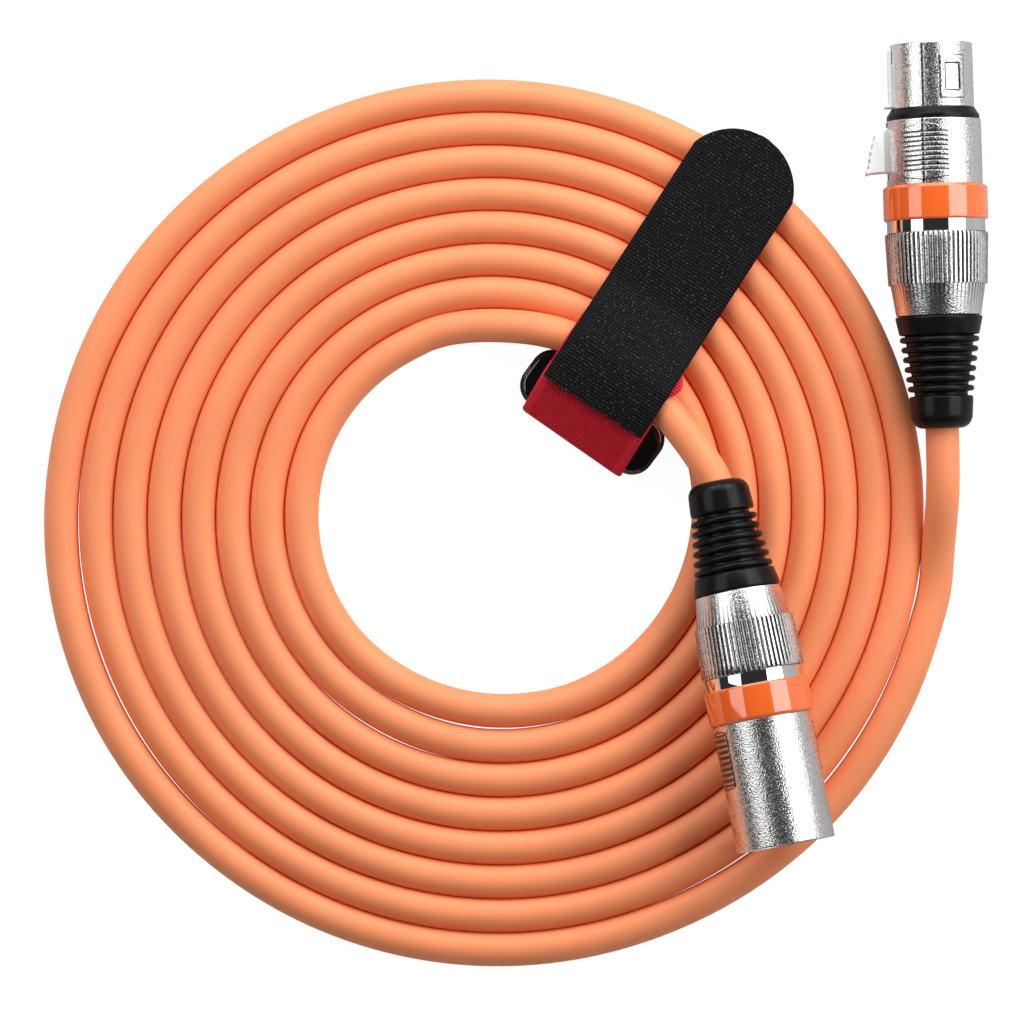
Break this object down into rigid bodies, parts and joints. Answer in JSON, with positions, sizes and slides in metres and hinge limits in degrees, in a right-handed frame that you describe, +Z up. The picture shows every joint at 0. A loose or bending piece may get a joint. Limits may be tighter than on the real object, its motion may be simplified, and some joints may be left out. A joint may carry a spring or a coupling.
{
  "type": "xlr cable coil",
  "caption": "Orange microphone cable wound flat in a coil, with a metal plug at each end and a hook-and-loop strap round the bundle.",
  "frame": {"origin": "centre of the coil's eye on the surface that the coil lies on", "axes": "+Z up out of the coil, +Y from the coil's centre along the female connector's way, +X towards the female connector"},
  "size_m": [0.1831, 0.1799, 0.0291],
  "materials": {
    "shell": "grainy satin nickel",
    "sleeve": "satin nickel",
    "chrome": "mirror",
    "latch_metal": "satin",
    "colour_ring": "glossy",
    "boot_rubber": "satin",
    "insulator": "moulded",
    "contact_metal": "silvered",
    "core": "insulated wire",
    "jacket": "matte soft jacket",
    "red_tape": "woven tape",
    "black_tape": "woven tape",
    "buckle": "glossy"
  },
  "bodies": {
    "root": {"female_shell": "shell", "female_chrome_band": "chrome", "female_colour_ring": "colour_ring", "female_cable_clamp": "insulator", "female_cable_end": "jacket", "female_conductors": "core", "female_insert": "insulator", "male_shell": "shell", "male_chrome_band": "chrome", "male_colour_ring": "colour_ring", "male_cable_clamp": "insulator", "male_cable_end": "jacket", "male_conductors": "core", "male_insert": "insulator", "female_sockets": "contact_metal", "female_nose_ring": "boot_rubber", "female_latch_pin": "latch_metal", "female_latch_spring": "latch_metal", "male_pins": "contact_metal", "cable_coil": "jacket", "cable_tail_outer": "jacket", "cable_tail_inner": "jacket", "strap_loop_tape": "red_tape", "strap_buckle": "buckle", "strap_stitches": "red_tape"},
    "female_boot": {"female_boot": "boot_rubber"},
    "female_sleeve": {"female_rear_sleeve": "sleeve"},
    "male_boot": {"male_boot": "boot_rubber"},
    "male_sleeve": {"male_rear_sleeve": "sleeve"},
    "latch": {"female_latch": "latch_metal"},
    "hook_tape": {"strap_hook_tape": "black_tape"}
  },
  "joints": [
    {"name": "female_boot_slide", "type": "slide", "parent": "root", "child": "female_boot", "axis": [0.0297, -0.9996, 0], "range_m": [0, 0.0025]},
    {"name": "female_sleeve_turn", "type": "hinge", "parent": "female_boot", "child": "female_sleeve", "pos_m": [0.08627, 0.04479, 0.0101], "axis": [0.0297, -0.9996, 0], "range_deg": [0, 900]},
    {"name": "male_boot_slide", "type": "slide", "parent": "root", "child": "male_boot", "axis": [-0.1833, 0.9793, -0.0854], "range_m": [0, 0.0025]},
    {"name": "male_sleeve_turn", "type": "hinge", "parent": "male_boot", "child": "male_sleeve", "pos_m": [0.04825, -0.02012, 0.0153], "axis": [-0.1833, 0.9793, -0.0854], "range_deg": [0, 900]},
    {"name": "latch_press", "type": "hinge", "parent": "root", "child": "latch", "pos_m": [0.07842, 0.06636, 0.0101], "axis": [0, 0, -1], "range_deg": [0, 6], "stiffness_Nm_per_rad": 0.02, "springref_deg": -8.59, "deforming": ["female_latch_spring"]},
    {"name": "hook_tape_peel", "type": "hinge", "parent": "root", "child": "hook_tape", "pos_m": [0.01943, 0.02102, 0.0136], "axis": [0.8396, -0.5432, 0], "range_deg": [0, 100]}
  ],
  "couplings": [
    {"joint": "female_sleeve_turn", "follows": "female_boot_slide", "rad_per_m": 6283.2},
    {"joint": "male_sleeve_turn", "follows": "male_boot_slide", "rad_per_m": 6283.2}
  ]
}
